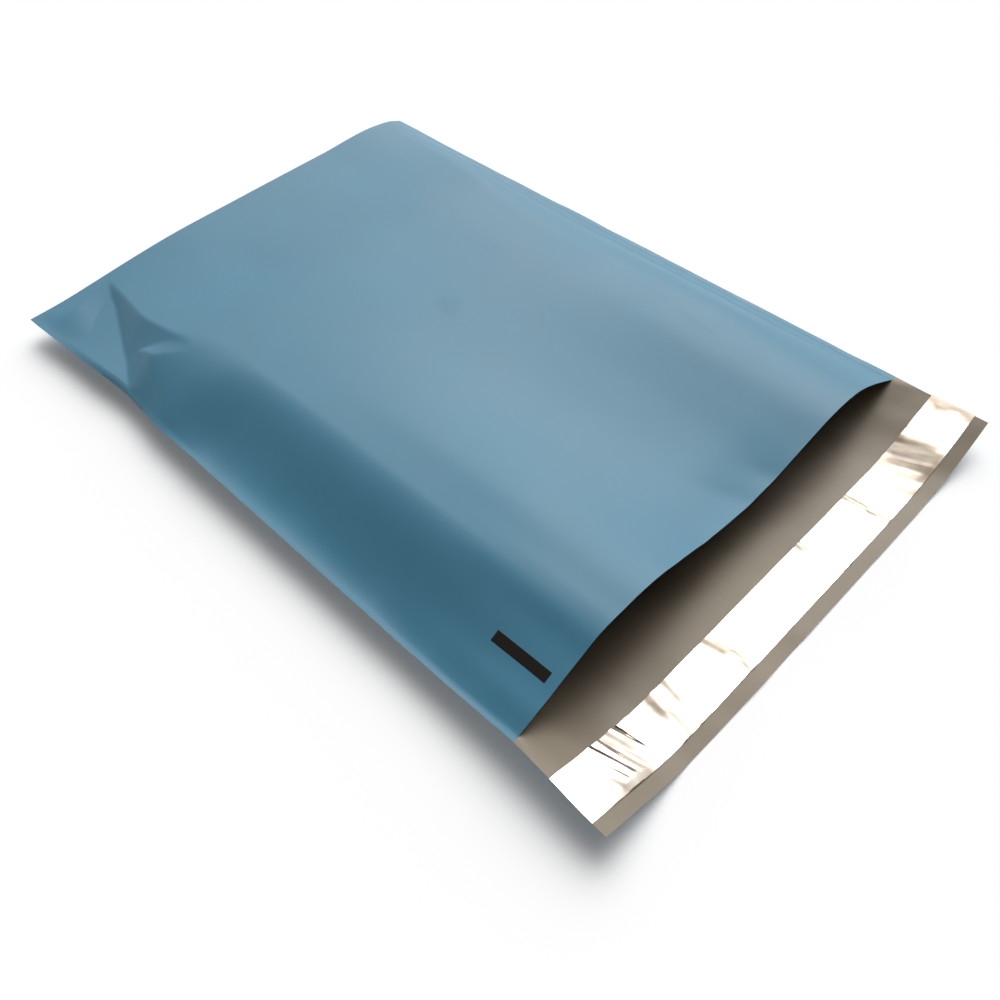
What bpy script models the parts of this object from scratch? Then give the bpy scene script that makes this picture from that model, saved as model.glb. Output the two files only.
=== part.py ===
# Poly mailer bag, empty and a little puffed up, lying on its back with the mouth open.
# One sheet of film is folded at the closed end, sealed down both sides, and cut short on
# the front, so that the back runs on past the mouth as the closure flap. A strip of
# adhesive lies across the flap under its release liner.
#
# +X runs across the bag, +Y from the flap to the closed end, and +Z up. The origin is on
# the floor, under the middle of the bag.
#
# A place on the film is given flat, as (across, along): across from the left edge, and
# along from the flap's edge. back_height and front_height say how high the film lies
# there, and plan_place says where it lies when seen from above.

import bisect
import math

import bmesh
import bpy

# The sheet, laid flat
BAG_WIDTH = 0.254
POCKET_LENGTH = 0.330
FLAP_LENGTH = 0.043
FILM_THICKNESS = 0.00006
SEAM_WIDTH = 0.0025
FOLD_LAND = 0.0006

# The rim, which the air in the pocket holds off the floor, and its back under it. The
# folded end rises over the seams, as (across, rise).
SEAM_LIFT = 0.012
FOLDED_END_RISE = (
    (0.0, 0.0),
    (0.022, 0.0010),
    (0.043, 0.0026),
    (0.085, 0.0056),
    (0.127, 0.0061),
    (0.190, 0.0062),
    (0.234, 0.0056),
    (0.246, 0.0032),
    (0.254, 0.0),
)
FOLDED_END_DRAW = 0.0018
MOUTH_CORNER_LIFT = 0.0020
BACK_ROLL = 0.046
BACK_END_ROLL = 0.060

# The front, which the air in the pocket pushes up
CROWN_HEIGHT = 0.031
CROWN_BY_FOLD = 0.025
LEFT_FLANK = 0.045
LEFT_FLANK_BY_DENT = 0.030
RIGHT_FLANK = 0.042
RIGHT_FLANK_AT_END = 0.024
FRONT_END_ROLL = 0.105

# The mouth's edge, as (across, rise over the rim), and how far down the front it reaches
MOUTH_PROFILE = (
    (0.0025, 0.0),
    (0.0060, 0.0016),
    (0.0104, 0.0037),
    (0.0190, 0.0070),
    (0.0269, 0.0107),
    (0.0348, 0.0142),
    (0.0438, 0.0188),
    (0.0505, 0.0205),
    (0.0575, 0.0211),
    (0.0685, 0.0217),
    (0.0820, 0.0201),
    (0.0947, 0.0167),
    (0.1140, 0.0119),
    (0.1334, 0.0094),
    (0.1564, 0.0107),
    (0.1750, 0.0146),
    (0.1945, 0.0184),
    (0.2050, 0.0186),
    (0.2150, 0.0170),
    (0.2317, 0.0106),
    (0.2430, 0.0048),
    (0.2515, 0.0),
)
MOUTH_SIDE_DEPTH = 0.085
MOUTH_MIDDLE_DEPTH = 0.048

# How far the puffed film draws its edges in
LEFT_DRAW = 0.0024
RIGHT_DRAW = 0.0006
MOUTH_DRAW = 0.0009
MOUTH_DRAW_ROLL = 0.036
FLAP_BOW = 0.0018
DRAW_REACH = 0.050
FOLDED_END_REACH = 0.100

# The dent in the left folded corner. Its crease runs from the apex, on the folded end, to
# the foot, on the side. Its fold runs from the foot over the knee to the tip.
DENT_APEX = (0.0430, 0.3665)
DENT_FOOT = (0.0030, 0.2930)
DENT_KNEE = (0.0200, 0.3065)
DENT_TIP = (0.0430, 0.2800)
DENT_CORNER_SLOPE = 0.03
DENT_CORNER_DROOP = 0.0010
DENT_FACET_SLOPE = 0.37
DENT_FOLD_RUN = 0.014
DENT_ROUNDING = 0.0005
DENT_TUCK = 0.0022
DENT_TUCK_REACH = 0.036

# The closure on the flap, and what lies between one layer and the next
LINER_MARGIN = 0.0060
LINER_WIDTH = 0.0195
LINER_THICKNESS = 0.00005
ADHESIVE_INSET = 0.003
ADHESIVE_THICKNESS = 0.00005
LAYER_GAP = 0.0003

# The black mark printed on the front, measured from the left edge and the mouth
MARK_SIDE = 0.0212
MARK_FROM_MOUTH = 0.0045
MARK_WIDTH = 0.0043
MARK_LENGTH = 0.0258

# Spacing of the film's grid: fine where it bends, coarse where it lies flat
FLANK_STEP = 0.0060
MIDDLE_STEP = 0.0125
FLAP_STEP = 0.0080
MOUTH_STEP = 0.0085
BODY_STEP = 0.0220
END_STEP = 0.0070
LEAST_STEP = 0.0004

SHEET_LENGTH = POCKET_LENGTH + FLAP_LENGTH
CAVITY_END = SHEET_LENGTH - FOLD_LAND


def ease(t):
    """Runs from 0 to 1 with level ends, as t does."""
    t = min(max(t, 0.0), 1.0)
    return t * t * (3.0 - 2.0 * t)


def hill(place, middle, reach):
    """A rounded rise of 1 at its middle, which ends at reach on either side."""
    return ease(1.0 - abs(place - middle) / reach)


def through(knots, place):
    """A smooth curve through (place, height) knots, level beyond its ends."""
    at = [knot[0] for knot in knots]
    height = [knot[1] for knot in knots]
    place = min(max(place, at[0]), at[-1])
    cell = min(bisect.bisect_right(at, place) - 1, len(at) - 2)
    run = at[cell + 1] - at[cell]
    t = (place - at[cell]) / run
    start = height[cell] * (1.0 + 2.0 * t) * (1.0 - t) ** 2 + slope_at(at, height, cell) * run * t * (1.0 - t) ** 2
    stop = height[cell + 1] * t * t * (3.0 - 2.0 * t) - slope_at(at, height, cell + 1) * run * t * t * (1.0 - t)
    return start + stop


def slope_at(at, height, knot):
    """The slope of the parabola through a knot and its neighbours, or of the end stretch."""
    if knot == 0:
        return (height[1] - height[0]) / (at[1] - at[0])
    if knot == len(at) - 1:
        return (height[-1] - height[-2]) / (at[-1] - at[-2])
    before = at[knot] - at[knot - 1]
    after = at[knot + 1] - at[knot]
    rise_before = (height[knot] - height[knot - 1]) / before
    rise_after = (height[knot + 1] - height[knot]) / after
    return (rise_before * after + rise_after * before) / (before + after)


def lower_of(a, b, rounding):
    """The lower of two heights, with the edge between them rounded."""
    overlap = max(rounding - abs(a - b), 0.0) / rounding
    return min(a, b) - overlap * overlap * rounding / 4.0


def higher_of(a, b, rounding):
    return -lower_of(-a, -b, rounding)


def side_distance(across):
    return min(across, BAG_WIDTH - across)


def inboard(across, roll):
    """0 on the seams, and 1 a roll further in."""
    return ease((side_distance(across) - SEAM_WIDTH) / roll)


def from_fold(along, roll):
    """0 at the folded end, and 1 a roll further down the bag."""
    return ease((CAVITY_END - along) / roll)


def rim_height(across, along):
    """The height that the seams and the folded end lie at, carried across the bag."""
    rise = through(FOLDED_END_RISE, across) * (1.0 - from_fold(along, FRONT_END_ROLL))
    near_left = ease(1.0 - across / 0.060)
    lift = MOUTH_CORNER_LIFT * near_left * hill(along, FLAP_LENGTH, 0.050)
    droop = DENT_CORNER_DROOP * near_left * ease((along - DENT_FOOT[1]) / (SHEET_LENGTH - DENT_FOOT[1]))
    return SEAM_LIFT + rise + lift - droop


def back_height(across, along):
    """The underside of the back: on the floor in the middle, and up to the rim around it."""
    settled = inboard(across, BACK_ROLL) * from_fold(along, BACK_END_ROLL)
    return rim_height(across, along) * (1.0 - settled)


def crown_height(along):
    """The height of the plateau between the flanks, which falls a little to the folded end."""
    return CROWN_BY_FOLD + (CROWN_HEIGHT - CROWN_BY_FOLD) * ease((SHEET_LENGTH - along) / 0.260)


def flank(across, along):
    """0 on the seams and 1 on the plateau between the flanks."""
    if across < BAG_WIDTH / 2.0:
        by_dent = ease((along - 0.265) / 0.045)
        return inboard(across, LEFT_FLANK + (LEFT_FLANK_BY_DENT - LEFT_FLANK) * by_dent)
    by_end = ease((along - 0.200) / 0.150)
    return inboard(across, RIGHT_FLANK + (RIGHT_FLANK_AT_END - RIGHT_FLANK) * by_end)


def dent_height(across, along):
    """The height of the dent's two facets: the sagging corner, and the steep one beside it."""
    run_across = DENT_FOOT[0] - DENT_APEX[0]
    run_along = DENT_FOOT[1] - DENT_APEX[1]
    turn = (along - DENT_APEX[1]) * run_across - (across - DENT_APEX[0]) * run_along
    past_crease = turn / math.hypot(run_across, run_along)
    corner = rim_height(across, along) + DENT_CORNER_SLOPE * max(across - SEAM_WIDTH, 0.0)
    return higher_of(corner, corner + DENT_FACET_SLOPE * past_crease, DENT_ROUNDING)


def dent_share(across, along):
    """1 in the dent, falling to 0 over a narrow facet below the dent's fold."""
    fold = [(0.0, DENT_FOOT[1] - 0.003), DENT_FOOT, DENT_KNEE, DENT_TIP, (BAG_WIDTH, DENT_TIP[1])]
    cell = max(number for number in range(len(fold) - 1) if fold[number][0] <= across)
    near, far = fold[cell], fold[cell + 1]
    at_fold = near[1] + (far[1] - near[1]) * (across - near[0]) / (far[0] - near[0])
    share = (along - at_fold + DENT_FOLD_RUN) / DENT_FOLD_RUN
    return min(max(share, 0.0), 1.0) * ease((BAG_WIDTH / 2.0 - across) / 0.020)


def front_rise(across, along):
    """The height of the front over the rim, with the dent pressed into it."""
    rim = rim_height(across, along)
    body = (crown_height(along) - rim) * flank(across, along)
    from_side = ease((side_distance(across) - 0.030) / 0.040)
    depth = MOUTH_SIDE_DEPTH + (MOUTH_MIDDLE_DEPTH - MOUTH_SIDE_DEPTH) * from_side
    body += (through(MOUTH_PROFILE, across) - body) * hill(along, FLAP_LENGTH, depth)
    rise = body * from_fold(along, FRONT_END_ROLL)
    pressed = lower_of(rise, dent_height(across, along) - rim, DENT_ROUNDING)
    return max(rise + (pressed - rise) * dent_share(across, along), 0.0)


def front_height(across, along):
    """The underside of the front, which lies on the back at the seams and the fold."""
    return rim_height(across, along) + FILM_THICKNESS + front_rise(across, along)


def side_draw(across, along):
    """How far a place moves in towards the middle of the bag."""
    ends = ease(along / DRAW_REACH) * ease((SHEET_LENGTH - along) / DRAW_REACH)
    from_middle = 1.0 - across / (BAG_WIDTH / 2.0)
    draw = LEFT_DRAW if from_middle > 0.0 else RIGHT_DRAW
    tuck = DENT_TUCK * hill(along, DENT_FOOT[1], DENT_TUCK_REACH)
    return draw * ends * from_middle + tuck * max(from_middle, 0.0) ** 3


def plan_place(across, along, front_share):
    """Where a place on the film lies from above; front_share is 1 on the front and 0 on the back."""
    x = across - BAG_WIDTH / 2.0 + side_draw(across, along)
    middle = 1.0 - (2.0 * across / BAG_WIDTH - 1.0) ** 4
    bow = FLAP_BOW * middle * ease(1.0 - along / DRAW_REACH)
    end_draw = FOLDED_END_DRAW * middle * ease(1.0 - (SHEET_LENGTH - along) / FOLDED_END_REACH)
    draw = MOUTH_DRAW * inboard(across, MOUTH_DRAW_ROLL) * hill(along, FLAP_LENGTH, POCKET_LENGTH)
    y = along - bow - end_draw + front_share * draw - (SHEET_LENGTH - FLAP_BOW) / 2.0
    return x, y


def stations(knots, steps):
    """Grid lines at the knots and between them, no further apart than the step of their stretch.

    steps lists (end of the stretch, step) in order along the line.
    """
    marks = []
    for knot in sorted(knots):
        if not marks or knot - marks[-1] > LEAST_STEP:
            marks.append(knot)
    ends = [end for end, step in steps]
    lines = marks[:1]
    for low, high in zip(marks, marks[1:]):
        middle = (low + high) / 2.0
        step = steps[min(bisect.bisect_left(ends, middle), len(steps) - 1)][1]
        count = math.ceil((high - low) / step - 1e-6)
        lines += [low + (high - low) * part / count for part in range(1, count + 1)]
    return lines


def across_stations():
    """Grid lines across the bag."""
    left_flank = SEAM_WIDTH + BACK_ROLL
    right_flank = BAG_WIDTH - left_flank
    mark_right = MARK_SIDE + MARK_WIDTH
    knots = [0.0, SEAM_WIDTH, MARK_SIDE, mark_right, left_flank]
    knots += [right_flank, BAG_WIDTH - SEAM_WIDTH, BAG_WIDTH]
    steps = [
        (SEAM_WIDTH, SEAM_WIDTH),
        (left_flank, FLANK_STEP),
        (right_flank, MIDDLE_STEP),
        (BAG_WIDTH - SEAM_WIDTH, FLANK_STEP),
        (BAG_WIDTH, SEAM_WIDTH),
    ]
    return stations(knots, steps)


def along_stations():
    """Grid lines along the bag, from the flap's edge to the folded end."""
    liner_end = LINER_MARGIN + LINER_WIDTH
    mark_start = FLAP_LENGTH + MARK_FROM_MOUTH
    mouth_end = FLAP_LENGTH + MOUTH_SIDE_DEPTH
    end_start = DENT_TIP[1] - DENT_FOLD_RUN
    knots = [0.0, LINER_MARGIN, LINER_MARGIN + ADHESIVE_INSET, liner_end - ADHESIVE_INSET]
    knots += [liner_end, FLAP_LENGTH, mark_start, mark_start + MARK_LENGTH, mouth_end]
    knots += [end_start, DENT_TIP[1], DENT_FOOT[1], DENT_KNEE[1], CAVITY_END, SHEET_LENGTH]
    steps = [
        (FLAP_LENGTH, FLAP_STEP),
        (mouth_end, MOUTH_STEP),
        (end_start, BODY_STEP),
        (SHEET_LENGTH, END_STEP),
    ]
    return stations(knots, steps)


def nearest(lines, place):
    """The number of the grid line nearest to a place."""
    return min(range(len(lines)), key=lambda number: abs(lines[number] - place))


def finish(name, colour, roughness, metallic=0.0):
    """A plain material for one surface."""
    material = bpy.data.materials.new(name)
    material.use_nodes = True
    shader = material.node_tree.nodes["Principled BSDF"]
    shader.inputs["Base Color"].default_value = (*colour, 1.0)
    shader.inputs["Roughness"].default_value = roughness
    shader.inputs["Metallic"].default_value = metallic
    return material


def new_object(name, mesh_builder, materials):
    """An object with the mesh that mesh_builder holds, shaded smooth."""
    mesh = bpy.data.meshes.new(name)
    mesh_builder.normal_update()
    mesh_builder.to_mesh(mesh)
    mesh_builder.free()
    for material in materials:
        mesh.materials.append(material)
    mesh.shade_smooth()
    mesh.set_sharp_from_angle(angle=math.radians(50))
    piece = bpy.data.objects.new(name, mesh)
    bpy.context.scene.collection.objects.link(piece)
    return piece


def cell_triangles(corners, across):
    """A grid cell's two triangles, split the same way in every layer."""
    near_left, near_right, far_right, far_left = corners
    if across < BAG_WIDTH / 2.0:
        return (near_left, near_right, far_left), (near_right, far_right, far_left)
    return (near_left, near_right, far_right), (near_left, far_right, far_left)


class FilmGrid:
    """The vertices and faces of one closed piece of film, named by layer and grid line."""

    def __init__(self, across_lines, along_lines, place):
        self.builder = bmesh.new()
        self.across = across_lines
        self.along = along_lines
        self.place = place
        self.made = {}

    def vertex(self, layer, i, j):
        """The vertex of a layer at a grid crossing, made when it is first asked for."""
        layer, point = self.place(layer, i, j)
        key = (layer, i, j)
        if key not in self.made:
            self.made[key] = self.builder.verts.new(point)
        return self.made[key]

    def sheet(self, layer, columns, rows, facing_up, slot_of):
        """One side of the film over a block of cells."""
        for i in columns:
            for j in rows:
                crossings = ((i, j), (i + 1, j), (i + 1, j + 1), (i, j + 1))
                corners = [self.vertex(layer, *crossing) for crossing in crossings]
                middle = (self.across[i] + self.across[i + 1]) / 2.0
                for triangle in cell_triangles(corners, middle):
                    wound = triangle if facing_up else triangle[::-1]
                    self.builder.faces.new(wound).material_index = slot_of(i, j)

    def wall(self, lower, upper, crossings):
        """A cut edge of the film, with its outside on the right of the way that crossings run."""
        for start, end in zip(crossings, crossings[1:]):
            corners = [self.vertex(lower, *start), self.vertex(lower, *end)]
            corners += [self.vertex(upper, *end), self.vertex(upper, *start)]
            self.builder.faces.new(corners)


def build_film(across_lines, along_lines):
    """The folded and side-sealed film: back, front and flap, with the open pocket between."""
    last_across = len(across_lines) - 1
    last_along = len(along_lines) - 1
    left_seam = nearest(across_lines, SEAM_WIDTH)
    right_seam = nearest(across_lines, BAG_WIDTH - SEAM_WIDTH)
    mouth = nearest(along_lines, FLAP_LENGTH)
    cavity_end = nearest(along_lines, CAVITY_END)

    def place(layer, i, j):
        """The layer that owns a crossing, since the two inner sides are one where sealed."""
        across, along = across_lines[i], along_lines[j]
        sealed = i <= left_seam or i >= right_seam or j >= cavity_end
        if layer == "roof" and sealed:
            layer = "bed"
        front_share = 1.0 if layer in ("roof", "top") else 0.0
        x, y = plan_place(across, along, front_share)
        height = {
            "under": lambda: back_height(across, along),
            "bed": lambda: back_height(across, along) + FILM_THICKNESS,
            "roof": lambda: front_height(across, along),
            "top": lambda: front_height(across, along) + FILM_THICKNESS,
        }
        return layer, (x, y, height[layer]())

    def front_slot(i, j):
        """The printed mark's cells are black, and the rest of the front is blue."""
        across = (across_lines[i] + across_lines[i + 1]) / 2.0 - MARK_SIDE
        along = (along_lines[j] + along_lines[j + 1]) / 2.0 - FLAP_LENGTH - MARK_FROM_MOUTH
        return 2 if 0.0 < across < MARK_WIDTH and 0.0 < along < MARK_LENGTH else 0

    def outside(i, j):
        return 0

    def inside(i, j):
        return 1

    film = FilmGrid(across_lines, along_lines, place)
    everywhere = range(last_across)
    pocket = range(left_seam, right_seam)
    film.sheet("under", everywhere, range(last_along), False, outside)
    film.sheet("bed", everywhere, range(mouth), True, inside)
    film.sheet("bed", pocket, range(mouth, cavity_end), True, inside)
    film.sheet("roof", pocket, range(mouth, cavity_end), False, inside)
    film.sheet("top", everywhere, range(mouth, last_along), True, front_slot)

    film.wall("under", "bed", [(i, 0) for i in range(last_across + 1)])
    film.wall("bed", "top", [(i, mouth) for i in range(left_seam + 1)])
    film.wall("roof", "top", [(i, mouth) for i in range(left_seam, right_seam + 1)])
    film.wall("bed", "top", [(i, mouth) for i in range(right_seam, last_across + 1)])
    film.wall("under", "top", [(i, last_along) for i in range(last_across, -1, -1)])
    film.wall("under", "bed", [(0, j) for j in range(mouth, -1, -1)])
    film.wall("under", "bed", [(last_across, j) for j in range(mouth + 1)])
    film.wall("under", "top", [(0, j) for j in range(last_along, mouth, -1)])
    film.wall("under", "top", [(last_across, j) for j in range(mouth + 1, last_along + 1)])

    # Beside the mouth the side edge is one layer high at one end and two at the other.
    for i, step in ((0, -1), (last_across, 1)):
        corners = [film.vertex("under", i, mouth), film.vertex("under", i, mouth + 1)]
        corners += [film.vertex("top", i, mouth + 1), film.vertex("top", i, mouth)]
        corners.append(film.vertex("bed", i, mouth))
        film.builder.faces.new(corners[::step])

    slots = [
        finish("blue_film", (0.075, 0.225, 0.320), 0.48),
        finish("grey_film", (0.423, 0.381, 0.328), 0.50),
        finish("black_ink", (0.012, 0.010, 0.009), 0.60),
    ]
    return new_object("bag_film", film.builder, slots)


def build_strip(name, across_lines, along_lines, start, end, clearance, thickness, material):
    """A thin strip across the flap, parallel to the film, from start to end along it."""
    first = nearest(along_lines, start)
    last = nearest(along_lines, end)
    columns = len(across_lines) - 1

    def place(layer, i, j):
        """The strip's two sides, both over the flap's upper face."""
        across, along = across_lines[i], along_lines[j]
        x, y = plan_place(across, along, 0.0)
        lift = clearance if layer == "under" else clearance + thickness
        return layer, (x, y, back_height(across, along) + FILM_THICKNESS + lift)

    def only_slot(i, j):
        return 0

    strip = FilmGrid(across_lines, along_lines, place)
    strip.sheet("under", range(columns), range(first, last), False, only_slot)
    strip.sheet("top", range(columns), range(first, last), True, only_slot)
    strip.wall("under", "top", [(i, first) for i in range(columns + 1)])
    strip.wall("under", "top", [(i, last) for i in range(columns, -1, -1)])
    strip.wall("under", "top", [(0, j) for j in range(last, first - 1, -1)])
    strip.wall("under", "top", [(columns, j) for j in range(first, last + 1)])
    return new_object(name, strip.builder, [material])


def build_closure(across_lines, along_lines):
    """The adhesive across the flap, and the release liner over it."""
    liner_end = LINER_MARGIN + LINER_WIDTH
    build_strip(
        "adhesive_strip",
        across_lines,
        along_lines,
        LINER_MARGIN + ADHESIVE_INSET,
        liner_end - ADHESIVE_INSET,
        LAYER_GAP,
        ADHESIVE_THICKNESS,
        finish("clear_adhesive", (0.75, 0.70, 0.60), 0.30),
    )
    build_strip(
        "release_liner",
        across_lines,
        along_lines,
        LINER_MARGIN,
        liner_end,
        2.0 * LAYER_GAP + ADHESIVE_THICKNESS,
        LINER_THICKNESS,
        finish("silver_liner", (0.88, 0.86, 0.83), 0.15, 1.0),
    )


def build():
    for leftover in list(bpy.data.objects):
        bpy.data.objects.remove(leftover)
    across_lines = across_stations()
    along_lines = along_stations()
    build_film(across_lines, along_lines)
    build_closure(across_lines, along_lines)


build()
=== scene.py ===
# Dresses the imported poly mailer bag: the film as a fine sheet with its folds, puckers and
# ripples, the release liner and the adhesive under it, their materials, the floor, the
# light and the camera.
#
# A place on the film is given flat, as (across, along) in metres: across from the left
# edge, and along from the flap's edge to the folded end.

import math

import bpy
import numpy as np
from mathutils import Matrix, Vector


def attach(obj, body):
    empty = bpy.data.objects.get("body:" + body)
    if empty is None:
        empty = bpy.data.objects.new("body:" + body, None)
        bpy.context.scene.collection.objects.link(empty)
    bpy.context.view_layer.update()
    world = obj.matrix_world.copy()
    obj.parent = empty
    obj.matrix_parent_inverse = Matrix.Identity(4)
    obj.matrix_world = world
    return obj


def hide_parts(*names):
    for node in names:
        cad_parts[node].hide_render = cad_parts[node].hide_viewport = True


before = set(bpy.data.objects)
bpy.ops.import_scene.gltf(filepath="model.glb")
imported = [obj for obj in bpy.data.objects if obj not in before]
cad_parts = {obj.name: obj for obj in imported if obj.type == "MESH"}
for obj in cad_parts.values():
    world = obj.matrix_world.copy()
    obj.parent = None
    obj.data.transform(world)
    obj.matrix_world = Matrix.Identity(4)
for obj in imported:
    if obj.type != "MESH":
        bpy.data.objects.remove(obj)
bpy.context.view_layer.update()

# The sheet, laid flat
BAG_WIDTH = 0.254
POCKET_LENGTH = 0.330
FLAP_LENGTH = 0.043
SHEET_LENGTH = POCKET_LENGTH + FLAP_LENGTH
FILM_THICKNESS = 0.00006
SEAM_WIDTH = 0.0025
FOLD_LAND = 0.0006
CAVITY_END = SHEET_LENGTH - FOLD_LAND

# The rim, held off the floor. The folded end's rise over it lists (across, rise). Beside
# the dent, the left seam's edge tips down.
SEAM_LIFT = 0.012
FOLDED_END_RISE = (
    (0.0, 0.0), (0.022, 0.0010), (0.043, 0.0026), (0.085, 0.0056), (0.127, 0.0061),
    (0.190, 0.0062), (0.234, 0.0056), (0.246, 0.0032), (0.254, 0.0),
)
FOLDED_END_DRAW = 0.0018
FOLDED_END_DRAW_REACH = 0.100
MOUTH_CORNER_LIFT = 0.0020
MOUTH_CORNER_REACH = 0.050
LEFT_RIM_REACH = 0.060
SEAM_TIP = 0.0016
SEAM_TIP_REACH = 0.065
SEAM_PUCKER = 0.00035
SEAM_PUCKER_REACH = 0.014
SEAM_PUCKER_END_FADE = 0.03

# The back. The flap leaves its side edges more steeply than the pocket does, by a share
# on the left and on the right, and fades into the pocket past the mouth.
BACK_ROLL = 0.046
BACK_END_ROLL = 0.060
FLAP_FADE = 0.030
FLAP_STEEP_LEFT = 0.4
FLAP_STEEP_RIGHT = 0.65
FLAP_LAND_FADE = 0.012

# The front, pushed up by the air inside. A change along it is (where it starts, its run).
CROWN_HEIGHT = 0.031
CROWN_BY_FOLD = 0.025
CROWN_FALL = 0.260
LEFT_FLANK = 0.045
LEFT_FLANK_BY_DENT = 0.030
LEFT_FLANK_NARROWS = (0.265, 0.045)
LEFT_FLANK_STEEPENS = (0.225, 0.045)
RIGHT_FLANK = 0.031
RIGHT_FLANK_AT_END = 0.013
RIGHT_FLANK_NARROWS = (0.200, 0.150)
RIGHT_FLANK_ROUNDING = 0.35
FRONT_END_ROLL = 0.105
FRONT_END_STEEP_SHARE = 0.6

# The mouth's edge, as (across, rise over the rim), and how far down the front it reaches
MOUTH_PROFILE = (
    (0.0025, 0.0), (0.0060, 0.0016), (0.0104, 0.0037), (0.019, 0.0070), (0.0269, 0.0107),
    (0.0348, 0.0142), (0.0438, 0.0188), (0.0505, 0.0205), (0.0575, 0.0211), (0.0685, 0.0217),
    (0.082, 0.0201), (0.0947, 0.0167), (0.114, 0.0119), (0.1334, 0.0094), (0.1564, 0.0107),
    (0.175, 0.0146), (0.1945, 0.0184), (0.205, 0.0186), (0.215, 0.0170), (0.2317, 0.0106),
    (0.243, 0.0048), (0.2515, 0.0),
)
MOUTH_SIDE_DEPTH = 0.085
MOUTH_LIP_DEPTH = 0.028
MOUTH_VALLEY_DEPTH = 0.220
MOUTH_VALLEY_SHARE = 0.80
MOUTH_SIDE_BLEND = (0.030, 0.040)

# How far the puffed film draws its edges in
LEFT_DRAW = 0.0024
RIGHT_DRAW = 0.0006
MOUTH_DRAW = 0.0009
MOUTH_DRAW_ROLL = 0.036
FLAP_BOW = 0.0018
DRAW_REACH = 0.050

# The dent in the left folded corner. Its crease runs from the apex, on the folded end, to
# the foot, on the side. Its fold runs from the foot over the knee to the tip.
DENT_APEX = (0.0430, 0.3665)
DENT_FOOT = (0.0030, 0.2930)
DENT_KNEE = (0.0200, 0.3065)
DENT_TIP = (0.0430, 0.2800)
DENT_CORNER_SLOPE = 0.02
DENT_CORNER_SWELL = 0.0022
DENT_CORNER_SWELL_REACH = 0.020
DENT_CORNER_SWELL_FADE = 0.034
DENT_CREASE_SINK = 0.0012
DENT_CREASE_REACH = 0.030
DENT_CREASE_RAMP = 0.30
DENT_CREASE_STOP = 1.05
DENT_CORNER_DROOP = 0.0010
DENT_FACET_SLOPE = 0.38
DENT_FACET_STEEPEST = 0.66
DENT_FACET_RAMP = 0.050
DENT_FOLD_RUN = 0.014
DENT_ROUNDING = 0.0005
DENT_TUCK = 0.0022
DENT_TUCK_REACH = 0.036
DENT_SIDE_FADE = 0.020

# The closure
LINER_MARGIN = 0.0060
LINER_WIDTH = 0.0195
LINER_THICKNESS = 0.00005
ADHESIVE_INSET = 0.003
ADHESIVE_THICKNESS = 0.00005
STUCK_GAP = 0.00006

# The printed mark
MARK_SIDE = 0.0212
MARK_FROM_MOUTH = 0.0045
MARK_WIDTH = 0.0043
MARK_LENGTH = 0.0258

# Fine forms that the solids leave out. A crease is (start, end, half width, depth). It is
# deepest at its start and has run out at its end, which may lie past the piece's edge.
FRONT_CREASES = (
    ((0.1085, 0.043), (0.1030, 0.0620), 0.0030, 0.00045),
    ((0.1390, 0.043), (0.1240, 0.0830), 0.0055, 0.00055),
    ((0.1560, 0.043), (0.1520, 0.0640), 0.0050, 0.00050),
    ((0.0880, 0.043), (0.0860, 0.0560), 0.0030, 0.00030),
)
LINER_CREASES = (
    ((0.0560, 0.0260), (0.0470, -0.0140), 0.0026, 0.00090),
    ((0.0640, 0.0260), (0.0570, -0.0140), 0.0018, 0.00055),
    ((0.0885, 0.0260), (0.0955, -0.0140), 0.0024, 0.00080),
    ((0.0826, 0.0200), (0.0856, -0.0060), 0.0014, 0.00040),
    ((0.1517, 0.0262), (0.1500, 0.0165), 0.0016, 0.00080),
    ((0.1585, 0.0060), (0.1570, 0.0120), 0.0010, 0.00040),
    ((0.1866, 0.0260), (0.1890, -0.0140), 0.0014, 0.00055),
)

# A patch where the liner has buckled is (place across, length of its waves, reach, depth).
LINER_BUCKLES = (
    (0.0300, 0.0240, 0.0220, 0.00170),
    (0.2240, 0.0260, 0.0260, 0.00060),
)

# Painted reflection on the liner: how far its silvering gives way to tan painted in for the
# streaks it reflects, as (across, share), and how far the bands waver
PAINTED_REFLECTION_BANDS = (
    (0.000, 0.0), (0.012, 0.0), (0.018, 0.5), (0.024, 0.1), (0.032, 0.7), (0.038, 0.0), (0.050, 0.1),
    (0.0545, 0.9), (0.058, 0.1), (0.064, 0.8), (0.069, 0.0), (0.086, 0.0), (0.090, 0.9), (0.094, 0.0),
    (0.150, 0.0), (0.153, 0.8), (0.156, 0.0), (0.184, 0.0), (0.1875, 0.8), (0.191, 0.0), (0.201, 0.0),
    (0.206, 0.8), (0.215, 0.6), (0.221, 1.0), (0.229, 0.9), (0.235, 0.2), (0.242, 0.0), (0.246, 0.1),
    (0.251, 0.8), (0.254, 0.7),
)
PAINTED_REFLECTION_WAVER = 0.012

# How high the swells and ripples are, and how far from the film's edges they fade
FRONT_SWELL = 0.00070
FRONT_DETAIL_SIDE_FADE = 0.012
FRONT_DETAIL_END_FADE = 0.030
RIGHT_CREASE_INBOARD = 0.0140
RIGHT_CREASE_WIDTH = 0.0016
RIGHT_CREASE_DEPTH = 0.00080
RIGHT_CREASE_STARTS = (0.055, 0.050)
RIGHT_CREASE_STOPS = (0.030, 0.060)
FLAP_RIPPLE = 0.00045
FLAP_RIPPLE_SKEW = 0.25
LINER_RIPPLE = 0.00012
LINER_RIPPLE_SKEW = 0.35
LINER_BUCKLE_MIDDLE = 0.020
LINER_BUCKLE_LEAN = 0.4
LINER_BUCKLE_FADE = 0.004

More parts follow.
